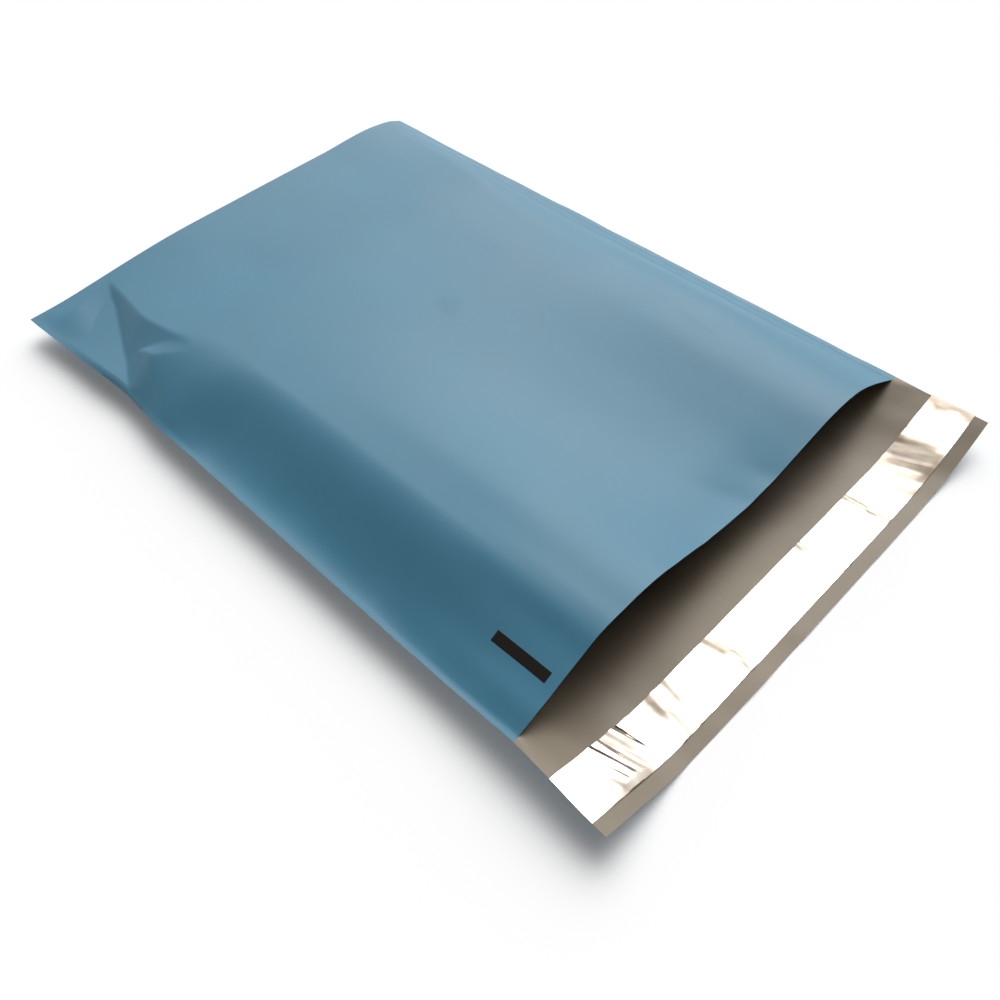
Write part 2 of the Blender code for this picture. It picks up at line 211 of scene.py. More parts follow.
# Noise, as (cell across, cell along, seed), and layers of it, each with its share first
LEFT_PUCKERS = (0.05, 0.011, 11)
RIGHT_PUCKERS = (0.05, 0.013, 12)
LINER_WIDE_WAVES = (0.0065, 0.030, 41)
LINER_FINE_WAVES = (0.0026, 0.018, 42)
LINER_WAVE_PATCHES = (0.030, 0.080, 43)
FRONT_SWELLS = ((0.7, 0.055, 0.090, 31), (0.3, 0.024, 0.040, 32))
FLAP_WAVES = ((0.6, 0.021, 0.060, 21), (0.4, 0.009, 0.030, 22))

# The photograph's camera: its place in metres, its aim in degrees, and its lens, with
# the focal length and the picture's middle in pixels of a 1000 pixel frame
FRAME_PX = 1000.0
SENSOR_MM = 36.0
CAMERA_PLACE = (-0.2365, -0.2389, 0.3216)
CAMERA_AZIMUTH = 48.79
CAMERA_ELEVATION = -50.55
CAMERA_ROLL = -3.68
CAMERA_FOCAL_PX = 970.4
CAMERA_MIDDLE_PX = (436.7, 504.1)

# The studio
BOX_AZIMUTH = 27.0
BOX_ELEVATION = 48.0
BOX_SPREAD = 25.0
BOX_STRENGTH = 6.9
AMBIENT = 0.03
FLOOR_COLOUR = 0.95
FLOOR_GLOW = 0.135
FLOOR_SIZE = 6.0


def ease(t):
    """Runs from 0 to 1 with level ends, as t does."""
    t = np.clip(t, 0.0, 1.0)
    return t * t * (3.0 - 2.0 * t)


def hill(place, middle, reach):
    """A rounded rise of 1 at its middle, which ends at reach on either side."""
    return ease(1.0 - np.abs(place - middle) / reach)


def soft_noise(x, y, cell_x, cell_y, seed):
    """Smooth noise from -1 to 1, with hills about a cell wide."""
    lattice = np.random.default_rng(seed).uniform(-1.0, 1.0, (256, 256))
    gx, gy = x / cell_x + 40.0, y / cell_y + 40.0
    ix, iy = np.floor(gx).astype(int), np.floor(gy).astype(int)
    fx, fy = ease(gx - ix), ease(gy - iy)
    near = lattice[ix, iy] * (1.0 - fx) + lattice[ix + 1, iy] * fx
    far = lattice[ix, iy + 1] * (1.0 - fx) + lattice[ix + 1, iy + 1] * fx
    return near * (1.0 - fy) + far * fy


def layered_noise(x, y, layers):
    """Layers of smooth noise, each with its share, laid over one another."""
    return sum(share * soft_noise(x, y, cell_x, cell_y, seed) for share, cell_x, cell_y, seed in layers)


def begun(place, change):
    """0 before a (start, run) change, and 1 after it."""
    start, run = change
    return ease((place - start) / run)


def through(knots, place):
    """A smooth curve through (place, height) knots."""
    at = np.array([knot[0] for knot in knots])
    height = np.array([knot[1] for knot in knots])
    tangent = np.gradient(height, at)
    place = np.clip(place, at[0], at[-1])
    cell = np.clip(np.searchsorted(at, place, side="right") - 1, 0, len(at) - 2)
    run = at[cell + 1] - at[cell]
    t = (place - at[cell]) / run
    start = height[cell] * (1.0 + 2.0 * t) * (1.0 - t) ** 2 + tangent[cell] * run * t * (1.0 - t) ** 2
    stop = height[cell + 1] * t * t * (3.0 - 2.0 * t) - tangent[cell + 1] * run * t * t * (1.0 - t)
    return start + stop


def lower_of(a, b, rounding):
    """The lower of two heights, with the edge between them rounded."""
    overlap = np.maximum(rounding - np.abs(a - b), 0.0) / rounding
    return np.minimum(a, b) - overlap * overlap * rounding / 4.0


def higher_of(a, b, rounding):
    return -lower_of(-a, -b, rounding)


def side_distance(across):
    return np.minimum(across, BAG_WIDTH - across)


def inboard(across, roll):
    """0 on the seams, and 1 a roll further in."""
    return ease((side_distance(across) - SEAM_WIDTH) / roll)


def from_fold(along, roll):
    """0 at the folded end, and 1 a roll further down the bag."""
    return ease((CAVITY_END - along) / roll)


def from_fold_rounded(along, roll):
    """As from_fold, but rising from the folded end at once."""
    t = np.clip((CAVITY_END - along) / roll, 0.0, 1.0)
    at_once = 1.0 - (1.0 - t) ** 2
    return ease(t) + FRONT_END_STEEP_SHARE * (at_once - ease(t))


def seam_pucker(across, along):
    """The small waves that the heat of the seam leaves in both layers beside it."""
    near_seam = np.exp(-((side_distance(across) / SEAM_PUCKER_REACH) ** 2))
    left = soft_noise(across, along, *LEFT_PUCKERS)
    right = soft_noise(across, along, *RIGHT_PUCKERS)
    wave = np.where(across < BAG_WIDTH / 2.0, left, right)
    ends = ease(along / SEAM_PUCKER_END_FADE) * ease((SHEET_LENGTH - along) / SEAM_PUCKER_END_FADE)
    return SEAM_PUCKER * wave * near_seam * ends


def rim_height(across, along):
    """The height that the seams and the folded end lie at, carried across the bag."""
    rise = through(FOLDED_END_RISE, across) * (1.0 - from_fold(along, FRONT_END_ROLL))
    by_left = ease(1.0 - across / LEFT_RIM_REACH)
    by_mouth = hill(along, FLAP_LENGTH, MOUTH_CORNER_REACH) * by_left
    droop = begun(along, (DENT_FOOT[1], SHEET_LENGTH - DENT_FOOT[1])) * by_left
    tip = np.maximum(1.0 - across / SEAM_WIDTH, 0.0) * hill(along, DENT_FOOT[1], SEAM_TIP_REACH)
    lift = SEAM_LIFT + rise + MOUTH_CORNER_LIFT * by_mouth - DENT_CORNER_DROOP * droop - SEAM_TIP * tip
    return lift + seam_pucker(across, along)


def on_flap(along):
    """1 on the flap, fading to 0 inside the pocket."""
    return ease(1.0 - (along - FLAP_LENGTH) / FLAP_FADE)


def flap_ripple(across, along):
    """Waves across the flap, which lift it off the floor between the places it rests on."""
    wave = layered_noise(across + FLAP_RIPPLE_SKEW * along, along, FLAP_WAVES)
    return FLAP_RIPPLE * (1.0 + wave) * on_flap(along)


def steep_inboard(across, roll, land=SEAM_WIDTH):
    """As inboard, but leaving the land along the edge at its steepest."""
    t = np.clip((side_distance(across) - land) / roll, 0.0, 1.0)
    return 1.0 - (1.0 - t) ** 2


def back_height(across, along):
    """The underside of the back: on the floor in the middle, and up to the rim around it."""
    steepness = np.where(across > BAG_WIDTH / 2.0, FLAP_STEEP_RIGHT, FLAP_STEEP_LEFT) * on_flap(along)
    land = SEAM_WIDTH * ease(1.0 - (FLAP_LENGTH - along) / FLAP_LAND_FADE)
    level = inboard(across, BACK_ROLL)
    level = level + (steep_inboard(across, BACK_ROLL, land) - level) * steepness
    settled = level * from_fold(along, BACK_END_ROLL)
    rest = rim_height(across, along) * (1.0 - settled)
    return rest + flap_ripple(across, along)


def crown_height(along):
    """The height of the plateau between the flanks, which falls a little to the folded end."""
    return CROWN_BY_FOLD + (CROWN_HEIGHT - CROWN_BY_FOLD) * ease((SHEET_LENGTH - along) / CROWN_FALL)


def flank(across, along):
    """0 on the seams and 1 on the plateau between the flanks."""
    near_dent = begun(along, LEFT_FLANK_NARROWS)
    left_width = LEFT_FLANK + (LEFT_FLANK_BY_DENT - LEFT_FLANK) * near_dent
    left = inboard(across, left_width)
    left = left + (steep_inboard(across, left_width) - left) * begun(along, LEFT_FLANK_STEEPENS)
    near_end = begun(along, RIGHT_FLANK_NARROWS)
    right_width = RIGHT_FLANK + (RIGHT_FLANK_AT_END - RIGHT_FLANK) * near_end
    up_right = (side_distance(across) - SEAM_WIDTH) / right_width
    right = np.maximum(lower_of(up_right, 1.0, RIGHT_FLANK_ROUNDING), 0.0)
    return np.where(across < BAG_WIDTH / 2.0, left, right)


def dent_height(across, along):
    """The height of the dent's two facets: the sagging corner, and the steep one beside it."""
    run = np.array(DENT_FOOT) - np.array(DENT_APEX)
    past_crease = ((along - DENT_APEX[1]) * run[0] - (across - DENT_APEX[0]) * run[1]) / math.hypot(*run)
    from_seam = np.maximum(across - SEAM_WIDTH, 0.0)
    corner = rim_height(across, along) + DENT_CORNER_SLOPE * from_seam
    swell = DENT_CORNER_SWELL * ease(from_seam / DENT_CORNER_SWELL_REACH)
    down_crease = (DENT_APEX[1] - along) / (DENT_APEX[1] - DENT_FOOT[1])
    sink = DENT_CREASE_SINK * ease(down_crease / DENT_CREASE_RAMP)
    sink = sink * ease((DENT_CREASE_STOP - down_crease) / DENT_CREASE_RAMP)
    by_crease = ease(1.0 + past_crease / DENT_CREASE_REACH)
    steepening = begun(along, (DENT_TIP[1], DENT_FACET_RAMP))
    slope = DENT_FACET_SLOPE + (DENT_FACET_STEEPEST - DENT_FACET_SLOPE) * steepening
    facet = corner - sink + slope * past_crease
    corner = corner - sink * by_crease + swell * ease(-past_crease / DENT_CORNER_SWELL_FADE)
    return higher_of(corner, facet, DENT_ROUNDING)


def dent_share(across, along):
    """1 in the dent, falling to 0 over a narrow facet below the dent's fold."""
    knots = ((0.0, DENT_FOOT[1] - 0.003), DENT_FOOT, DENT_KNEE, DENT_TIP, (BAG_WIDTH, DENT_TIP[1]))
    fold = np.interp(across, [knot[0] for knot in knots], [knot[1] for knot in knots])
    share = (along - fold + DENT_FOLD_RUN) / DENT_FOLD_RUN
    return np.clip(share, 0.0, 1.0) * ease((BAG_WIDTH / 2.0 - across) / DENT_SIDE_FADE)


def crease(across, along, start, end, half_width, depth):
    """A narrow trough along a line, deepest at its start and gone at its end."""
    run = np.array(end) - np.array(start)
    length = math.hypot(*run)
    across_in, along_in = across - start[0], along - start[1]
    way = (across_in * run[0] + along_in * run[1]) / length
    off = (across_in * run[1] - along_in * run[0]) / length
    fade = ease(1.0 - np.maximum(way, 0.0) / length)
    return -depth * fade * np.exp(-((off / (half_width * (0.5 + 0.5 * fade))) ** 2))


def front_detail(across, along):
    """The swells, creases and folds that the solid's front leaves out."""
    detail = FRONT_SWELL * layered_noise(across, along, FRONT_SWELLS)
    for line in FRONT_CREASES:
        detail += crease(across, along, *line)
    right_inboard = BAG_WIDTH - across - RIGHT_CREASE_INBOARD
    down_the_side = begun(along, RIGHT_CREASE_STARTS) * begun(SHEET_LENGTH - along, RIGHT_CREASE_STOPS)
    detail -= RIGHT_CREASE_DEPTH * np.exp(-((right_inboard / RIGHT_CREASE_WIDTH) ** 2)) * down_the_side
    faded = detail * inboard(across, FRONT_DETAIL_SIDE_FADE)
    return faded * from_fold(along, FRONT_DETAIL_END_FADE)


def front_rise(across, along):
    """The height of the front over the rim, with the dent pressed into it."""
    rim = rim_height(across, along)
    body = (crown_height(along) - rim) * flank(across, along)
    by_side = hill(along, FLAP_LENGTH, MOUTH_SIDE_DEPTH)
    lip = hill(along, FLAP_LENGTH, MOUTH_LIP_DEPTH)
    valley = hill(along, FLAP_LENGTH, MOUTH_VALLEY_DEPTH)
    in_middle = lip + (valley - lip) * MOUTH_VALLEY_SHARE
    by_mouth = by_side + (in_middle - by_side) * begun(side_distance(across), MOUTH_SIDE_BLEND)
    body = body + (through(MOUTH_PROFILE, across) - body) * by_mouth
    rise = body * from_fold_rounded(along, FRONT_END_ROLL) + front_detail(across, along)
    pressed = lower_of(rise, dent_height(across, along) - rim, DENT_ROUNDING)
    share = dent_share(across, along)
    return np.maximum(rise + (pressed - rise) * share, 0.0)


def front_height(across, along):
    """The underside of the front, which lies on the back at the seams and the fold."""
    base = rim_height(across, along) + FILM_THICKNESS + front_rise(across, along)
    sealed = (side_distance(across) <= SEAM_WIDTH + 1e-6) | (along >= CAVITY_END - 1e-6)
    return np.where(sealed, back_height(across, along) + FILM_THICKNESS, base)


def side_draw(across, along):
    """How far a place moves in towards the middle of the bag."""
    ends = ease(along / DRAW_REACH) * ease((SHEET_LENGTH - along) / DRAW_REACH)
    from_middle = 1.0 - across / (BAG_WIDTH / 2.0)
    draw = np.where(from_middle > 0.0, LEFT_DRAW, RIGHT_DRAW)
    tuck = DENT_TUCK * hill(along, DENT_FOOT[1], DENT_TUCK_REACH)
    return draw * ends * from_middle + tuck * np.maximum(from_middle, 0.0) ** 3


def plan_place(across, along, front_share):
    """Where a place lies from above; front_share is 1 on the front and 0 on the back."""
    x = across - BAG_WIDTH / 2.0 + side_draw(across, along)
    middle = 1.0 - (2.0 * across / BAG_WIDTH - 1.0) ** 4
    bow = FLAP_BOW * middle * ease(1.0 - along / DRAW_REACH)
    end_draw = FOLDED_END_DRAW * middle * ease(1.0 - (SHEET_LENGTH - along) / FOLDED_END_DRAW_REACH)
    draw = MOUTH_DRAW * inboard(across, MOUTH_DRAW_ROLL) * hill(along, FLAP_LENGTH, POCKET_LENGTH)
    y = along - bow - end_draw + front_share * draw - (SHEET_LENGTH - FLAP_BOW) / 2.0
    return x, y


def stations(stops):
    """Grid lines from stop to stop. stops lists (place, step up to it)."""
    lines = [stops[0][0]]
    for place, step in stops[1:]:
        count = max(1, math.ceil((place - lines[-1]) / step - 1e-6))
        lines += list(np.linspace(lines[-1], place, count + 1)[1:])
    return np.array(lines)


def nearest(lines, place):
    return int(np.argmin(np.abs(lines - place)))


def cells(ids, facing_up):
    """Two triangles for each cell of a grid of vertex numbers, split alike in every layer."""
    near_left, near_right = ids[:-1, :-1], ids[1:, :-1]
    far_right, far_left = ids[1:, 1:], ids[:-1, 1:]
    split = ((near_left, near_right, far_right), (near_left, far_right, far_left))
    faces = np.stack([np.stack([corner.ravel() for corner in half], axis=1) for half in split], axis=1)
    faces = faces.reshape(-1, 3)
    return faces if facing_up else faces[:, ::-1]


def edge_quads(lower, upper):
    """A cut edge between two rows of vertex numbers, with its outside on the row's right."""
    return np.stack([lower[:-1], lower[1:], upper[1:], upper[:-1]], axis=1)


def mesh_object(name, points, face_groups, materials):
    """An object from points and (faces, material number) groups, shaded smooth."""
    faces, slots = [], []
    for group, slot in face_groups:
        faces += [tuple(face) for face in group]
        slots += [slot] * len(group) if np.isscalar(slot) else list(slot)
    mesh = bpy.data.meshes.new(name)
    mesh.from_pydata([tuple(point) for point in points], [], faces)
    for material in materials:
        mesh.materials.append(material)
    mesh.polygons.foreach_set("material_index", np.array(slots, dtype=np.int32))
    mesh.validate()
    mesh.shade_smooth()
    mesh.set_sharp_from_angle(angle=math.radians(60))
    piece = bpy.data.objects.new(name, mesh)
    bpy.context.scene.collection.objects.link(piece)
    return piece


def build_film(materials):
    """The folded, side-sealed film, with both of its faces and its true thickness."""
    across = stations([
        (0.0, 0.0), (SEAM_WIDTH, 0.0013), (MARK_SIDE, 0.0012),
        (MARK_SIDE + MARK_WIDTH, 0.0011), (0.052, 0.0012), (0.075, 0.0020),
        (BAG_WIDTH - 0.050, 0.0030), (BAG_WIDTH - SEAM_WIDTH, 0.0014), (BAG_WIDTH, 0.0013),
    ])
    mark_start = FLAP_LENGTH + MARK_FROM_MOUTH
    along = stations([
        (0.0, 0.0), (FLAP_LENGTH, 0.0018), (mark_start, 0.0018),
        (mark_start + MARK_LENGTH, 0.0022), (0.110, 0.0030), (SHEET_LENGTH - 0.118, 0.0056),
        (SHEET_LENGTH - 0.100, 0.0022), (CAVITY_END, 0.0013), (SHEET_LENGTH, FOLD_LAND),
    ])
    left_seam = nearest(across, SEAM_WIDTH)
    right_seam = nearest(across, BAG_WIDTH - SEAM_WIDTH)
    mouth = nearest(along, FLAP_LENGTH)
    cavity_end = nearest(along, CAVITY_END)
    flat_across, flat_along = np.meshgrid(across, along, indexing="ij")
    front_across, front_along = flat_across[:, mouth:], flat_along[:, mouth:]

    back_x, back_y = plan_place(flat_across, flat_along, 0.0)
    front_x, front_y = plan_place(front_across, front_along, 1.0)
    back = back_height(flat_across, flat_along)
    front = front_height(front_across, front_along)
    front = np.maximum(front, back[:, mouth:] + FILM_THICKNESS)
    layers = [
        np.stack([back_x, back_y, back], axis=-1),
        np.stack([back_x, back_y, back + FILM_THICKNESS], axis=-1),
        np.stack([front_x, front_y, front], axis=-1),
        np.stack([front_x, front_y, front + FILM_THICKNESS], axis=-1),
    ]
    starts = np.cumsum([0] + [layer[..., 0].size for layer in layers])
    under, bed, roof, top = (
        start + np.arange(layer[..., 0].size).reshape(layer.shape[:2])
        for start, layer in zip(starts, layers)
    )
    points = np.concatenate([layer.reshape(-1, 3) for layer in layers])

    # Where the film is sealed, the front's inner face is the back's.
    sealed = np.zeros(roof.shape, dtype=bool)
    sealed[:left_seam + 1] = True
    sealed[right_seam:] = True
    sealed[:, cavity_end - mouth:] = True
    roof = np.where(sealed, bed[:, mouth:], roof)

    pocket = slice(left_seam, right_seam + 1)
    inner_end = cavity_end - mouth + 1
    cell_across = (across[:-1] + across[1:]) / 2.0
    cell_along = ((along[:-1] + along[1:]) / 2.0)[mouth:]
    on_mark = np.outer(
        (cell_across > MARK_SIDE) & (cell_across < MARK_SIDE + MARK_WIDTH),
        (cell_along > mark_start) & (cell_along < mark_start + MARK_LENGTH),
    )
    in_seam = (side_distance(cell_across) < SEAM_WIDTH)[:, None] | np.zeros_like(on_mark)
    front_slots = np.repeat(np.where(on_mark, 3, np.where(in_seam, 2, 0)).ravel(), 2)
    back_seam = (side_distance(cell_across) < SEAM_WIDTH)[:, None]
    back_on_pocket = (((along[:-1] + along[1:]) / 2.0) > FLAP_LENGTH)[None, :]
    back_slots = np.repeat(np.where(back_seam & back_on_pocket, 2, 0).ravel(), 2)
    groups = [
        (cells(under, False), back_slots),
        (cells(bed[:, :mouth + 1], True), 1),
        (cells(bed[pocket, mouth:cavity_end + 1], True), 1),
        (cells(roof[pocket, :inner_end], False), 1),
        (cells(top, True), front_slots),
        (edge_quads(under[:, 0], bed[:, 0]), 0),
        (edge_quads(bed[:left_seam + 1, mouth], top[:left_seam + 1, 0]), 0),
        (edge_quads(roof[pocket, 0], top[pocket, 0]), 0),
        (edge_quads(bed[right_seam:, mouth], top[right_seam:, 0]), 0),
        (edge_quads(under[::-1, -1], top[::-1, -1]), 0),
        (edge_quads(under[0, mouth::-1], bed[0, mouth::-1]), 0),
        (edge_quads(under[-1, :mouth + 1], bed[-1, :mouth + 1]), 0),
        (edge_quads(under[0, :mouth:-1], top[0, :0:-1]), 0),
        (edge_quads(under[-1, mouth + 1:], top[-1, 1:]), 0),
    ]
    for side, step in ((0, -1), (-1, 1)):
        corner = [under[side, mouth], under[side, mouth + 1], top[side, 1]]
        corner += [top[side, 0], bed[side, mouth]]
        groups.append(([corner[::step]], 0))
    return mesh_object("bag_film_sheet", points, groups, materials)


def build_strip(name, start, end, step_across, lift, thickness, ripple, material):
    """A thin strip across the flap, lying on the film from start to end along it."""
    across = stations([(0.0, 0.0), (BAG_WIDTH, step_across)])
    along = stations([(start, 0.0), (end, 0.0009)])
    flat_across, flat_along = np.meshgrid(across, along, indexing="ij")
    x, y = plan_place(flat_across, flat_along, 0.0)
    under_z = back_height(flat_across, flat_along) + FILM_THICKNESS + lift
    under_z = under_z + ripple(flat_across, flat_along)
    layers = [np.stack([x, y, under_z], axis=-1), np.stack([x, y, under_z + thickness], axis=-1)]
    under = np.arange(x.size).reshape(x.shape)
    top = under + x.size
    groups = [
        (cells(under, False), 0),
        (cells(top, True), 0),
        (edge_quads(under[:, 0], top[:, 0]), 0),
        (edge_quads(under[::-1, -1], top[::-1, -1]), 0),
        (edge_quads(under[0, ::-1], top[0, ::-1]), 0),
        (edge_quads(under[-1], top[-1]), 0),
    ]
    points = np.concatenate([layer.reshape(-1, 3) for layer in layers])
    return mesh_object(name, points, groups, [material])


def liner_ripple(across, along):
    """The liner's fine waves, ridges and buckles along the bag, over the height it lies at."""
    skew = across + LINER_RIPPLE_SKEW * along
    wide = soft_noise(skew, along, *LINER_WIDE_WAVES)
    fine = soft_noise(skew, along, *LINER_FINE_WAVES)
    patch = ease(0.5 + 1.2 * soft_noise(across, along, *LINER_WAVE_PATCHES))
    ripple = LINER_RIPPLE * (1.0 + 0.7 * wide + 0.3 * fine * patch)
    for line in LINER_CREASES:
        ripple -= crease(across, along, *line)
    for place, run, reach, depth in LINER_BUCKLES:
        middle = place + LINER_BUCKLE_LEAN * (along - LINER_BUCKLE_MIDDLE)
        here = hill(across, middle, reach) * ease((along - LINER_MARGIN) / LINER_BUCKLE_FADE + 0.3)
        buckle = layered_noise(skew, along, ((0.7, 0.0046, run, 44), (0.3, 0.0019, run / 2.0, 45)))
        ripple += depth * here * (1.0 + buckle)
    return ripple


def no_ripple(across, along):
    return np.zeros_like(across)


def new_material(name):
    """A material, its tree and its shader."""
    material = bpy.data.materials.new(name)
    material.use_nodes = True
    return material, material.node_tree, material.node_tree.nodes["Principled BSDF"]


def arithmetic(tree, operation, *values):
    """A Math node on sockets and plain numbers."""
    node = tree.nodes.new("ShaderNodeMath")
    node.operation = operation
    for socket, value in zip(node.inputs, values):
        if isinstance(value, float):
            socket.default_value = value
        else:
            tree.links.new(value, socket)
    return node.outputs["Value"]


def noise(tree, stretch, scale, detail=3.0):
    """Noise in the object's own metres, stretched along its axes."""
    coordinates = tree.nodes.new("ShaderNodeTexCoord")
    mapping = tree.nodes.new("ShaderNodeMapping")
    mapping.inputs["Scale"].default_value = stretch
    texture = tree.nodes.new("ShaderNodeTexNoise")
    texture.inputs["Scale"].default_value = scale
    texture.inputs["Detail"].default_value = detail
    tree.links.new(coordinates.outputs["Object"], mapping.inputs["Vector"])
    tree.links.new(mapping.outputs["Vector"], texture.inputs["Vector"])
    return texture.outputs["Fac"]


def remap(tree, value, low, high, start=0.3, end=0.7):
    """The value between start and end spread from low to high."""
    ranged = tree.nodes.new("ShaderNodeMapRange")
    ranged.inputs["From Min"].default_value = start
    ranged.inputs["From Max"].default_value = end
    ranged.inputs["To Min"].default_value = low
    ranged.inputs["To Max"].default_value = high
    tree.links.new(value, ranged.inputs["Value"])
    return ranged.outputs["Result"]


def mix_colours(tree, value, low, high):
    """A colour from low to high as the value runs over the middle of its range."""
    ramp = tree.nodes.new("ShaderNodeValToRGB")
    ramp.color_ramp.elements[0].position = 0.3
    ramp.color_ramp.elements[0].color = (*low, 1.0)
    ramp.color_ramp.elements[1].position = 0.7
    ramp.color_ramp.elements[1].color = (*high, 1.0)
    tree.links.new(value, ramp.inputs["Fac"])
    return ramp.outputs["Color"]


def bump(tree, layers):
    """A normal from (height value, depth in metres) layers laid over one another."""
    normal = None
    for value, depth in layers:
        node = tree.nodes.new("ShaderNodeBump")
        node.inputs["Distance"].default_value = depth
        tree.links.new(value, node.inputs["Height"])
        if normal is not None:
            tree.links.new(normal, node.inputs["Normal"])
        normal = node.outputs["Normal"]
    return normal


def film_material(name, dark, light, sheen, tint, roughness, line_stretch, line_depth):
    """Blown film: even colour with faint clouds, fine drawn lines and a satin grain."""
    material, tree, shader = new_material(name)
    clouds = noise(tree, (1.0, 1.0, 1.0), 22.0)
    lines = noise(tree, line_stretch, 3.0, 2.0)
    grain = noise(tree, (1.0, 1.0, 1.0), 1400.0, 2.0)
    tree.links.new(mix_colours(tree, clouds, dark, light), shader.inputs["Base Color"])
    tree.links.new(remap(tree, clouds, *roughness), shader.inputs["Roughness"])
    normal = bump(tree, [(lines, line_depth), (grain, 0.00001)])
    tree.links.new(normal, shader.inputs["Normal"])
    shader.inputs["IOR"].default_value = 1.51
    shader.inputs["Specular IOR Level"].default_value = sheen
    shader.inputs["Specular Tint"].default_value = (*tint, 1.0)
    return material


def seal_material(name, dark, light):
    """The sealed edge: the same film, pressed by the bar into a fine rib."""
    material, tree, shader = new_material(name)
    clouds = noise(tree, (1.0, 1.0, 1.0), 60.0)
    ribs = noise(tree, (900.0, 25.0, 1.0), 1.0, 1.0)
    tree.links.new(mix_colours(tree, clouds, dark, light), shader.inputs["Base Color"])
    tree.links.new(remap(tree, clouds, 0.42, 0.52), shader.inputs["Roughness"])
    tree.links.new(bump(tree, [(ribs, 0.00003)]), shader.inputs["Normal"])
    shader.inputs["IOR"].default_value = 1.51
    return material


def ink_material():
    """A flat black print with the film's grain in it."""
    material, tree, shader = new_material("black ink")
    grain = noise(tree, (1.0, 1.0, 1.0), 1400.0, 2.0)
    tree.links.new(
        mix_colours(tree, grain, (0.010, 0.008, 0.007), (0.016, 0.013, 0.011)),
        shader.inputs["Base Color"],
    )
    tree.links.new(remap(tree, grain, 0.70, 0.82), shader.inputs["Roughness"])
    shader.inputs["Specular IOR Level"].default_value = 0.1
    tree.links.new(bump(tree, [(grain, 0.00001)]), shader.inputs["Normal"])
    return material


def painted_reflection_bands(tree):
    """Painted reflection: how far the liner turns tan in place of the streaks it reflects, in soft bands
    along the bag at the places listed.
    """
    coordinates = tree.nodes.new("ShaderNodeTexCoord")
    split = tree.nodes.new("ShaderNodeSeparateXYZ")
    tree.links.new(coordinates.outputs["Object"], split.inputs["Vector"])
    waver = noise(tree, (30.0, 90.0, 1.0), 1.0, 2.0)
    moved = arithmetic(tree, "MULTIPLY_ADD", waver, PAINTED_REFLECTION_WAVER, split.outputs["X"])
    middle = PAINTED_REFLECTION_WAVER / 2.0
    place = remap(tree, moved, 0.0, 1.0, middle - BAG_WIDTH / 2.0, middle + BAG_WIDTH / 2.0)
    ramp = tree.nodes.new("ShaderNodeValToRGB")
    stops = ramp.color_ramp.elements
    for number, (across, share) in enumerate(PAINTED_REFLECTION_BANDS):
        if number < 2:
            stop = stops[number]
            stop.position = across / BAG_WIDTH
        else:
            stop = stops.new(across / BAG_WIDTH)
        stop.color = (share, share, share, 1.0)
    tree.links.new(place, ramp.inputs["Fac"])
    return ramp.outputs["Color"]


def liner_material():
    """Silvered release film, with fine drawn lines along the bag and bands of tan painted reflection."""
    material, tree, shader = new_material("silver release film")
    lines = noise(tree, (620.0, 22.0, 1.0), 1.0, 3.0)
    patches = noise(tree, (1.0, 1.0, 1.0), 45.0)
    painted_reflection_share = painted_reflection_bands(tree)
    # Painted reflection: inside the bands the liner is tan and not metallic, in place of the streaks it
    # reflects.
    mix = tree.nodes.new("ShaderNodeMix")
    mix.data_type = "RGBA"
    tree.links.new(painted_reflection_share, mix.inputs["Factor"])
    tree.links.new(mix_colours(tree, patches, (0.92, 0.81, 0.69), (0.95, 0.90, 0.83)), mix.inputs["A"])
    tree.links.new(mix_colours(tree, patches, (0.30, 0.21, 0.13), (0.54, 0.43, 0.31)), mix.inputs["B"])
    tree.links.new(mix.outputs["Result"], shader.inputs["Base Color"])
    tree.links.new(remap(tree, patches, 0.05, 0.13), shader.inputs["Roughness"])
    tree.links.new(bump(tree, [(lines, 0.00004)]), shader.inputs["Normal"])
    tree.links.new(remap(tree, painted_reflection_share, 1.0, 0.0, 0.0, 1.0), shader.inputs["Metallic"])
    return material


def adhesive_material():
    """Clear glossy adhesive with a little cloud in it."""
    material, tree, shader = new_material("clear adhesive")
    clouds = noise(tree, (1.0, 1.0, 1.0), 160.0)
    tree.links.new(
        mix_colours(tree, clouds, (0.60, 0.54, 0.44), (0.74, 0.69, 0.60)),
        shader.inputs["Base Color"],
    )
    tree.links.new(remap(tree, clouds, 0.12, 0.25), shader.inputs["Roughness"])
    tree.links.new(bump(tree, [(clouds, 0.00003)]), shader.inputs["Normal"])
    return material


def dress_bag():
    """The pieces that stand for the three solids."""
    outside = film_material(
        "blue film",
        dark=(0.041, 0.176, 0.272),
        light=(0.049, 0.198, 0.302),
        sheen=0.40,
        tint=(1.0, 1.0, 1.0),
        roughness=(0.40, 0.46),
        line_stretch=(4.0, 260.0, 4.0),
        line_depth=0.000006,
    )
    inside = film_material(
        "taupe inner film",
        dark=(0.104, 0.081, 0.053),
        light=(0.140, 0.110, 0.075),
        sheen=0.70,
        tint=(1.0, 0.92, 0.80),
        roughness=(0.40, 0.48),
        line_stretch=(160.0, 5.0, 4.0),
        line_depth=0.000030,
    )
    seal = seal_material("sealed blue film", (0.042, 0.178, 0.276), (0.050, 0.200, 0.306))
    film = build_film([outside, inside, seal, ink_material()])
    adhesive = build_strip(
        "adhesive_layer",
        LINER_MARGIN + ADHESIVE_INSET,
        LINER_MARGIN + LINER_WIDTH - ADHESIVE_INSET,
        0.0012,
        STUCK_GAP,
        ADHESIVE_THICKNESS,
        no_ripple,
        adhesive_material(),
    )
    liner = build_strip(
        "release_liner_strip",
        LINER_MARGIN,
        LINER_MARGIN + LINER_WIDTH,
        0.0003,
        2.0 * STUCK_GAP + ADHESIVE_THICKNESS,
        LINER_THICKNESS,
        liner_ripple,
        liner_material(),
    )
    for piece, node, slot in (
        (film, "bag_film", "blue_film"),
        (adhesive, "adhesive_strip", "clear_adhesive"),
        (liner, "release_liner", "silver_liner"),
    ):
        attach(piece, "root")
        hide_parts(node)


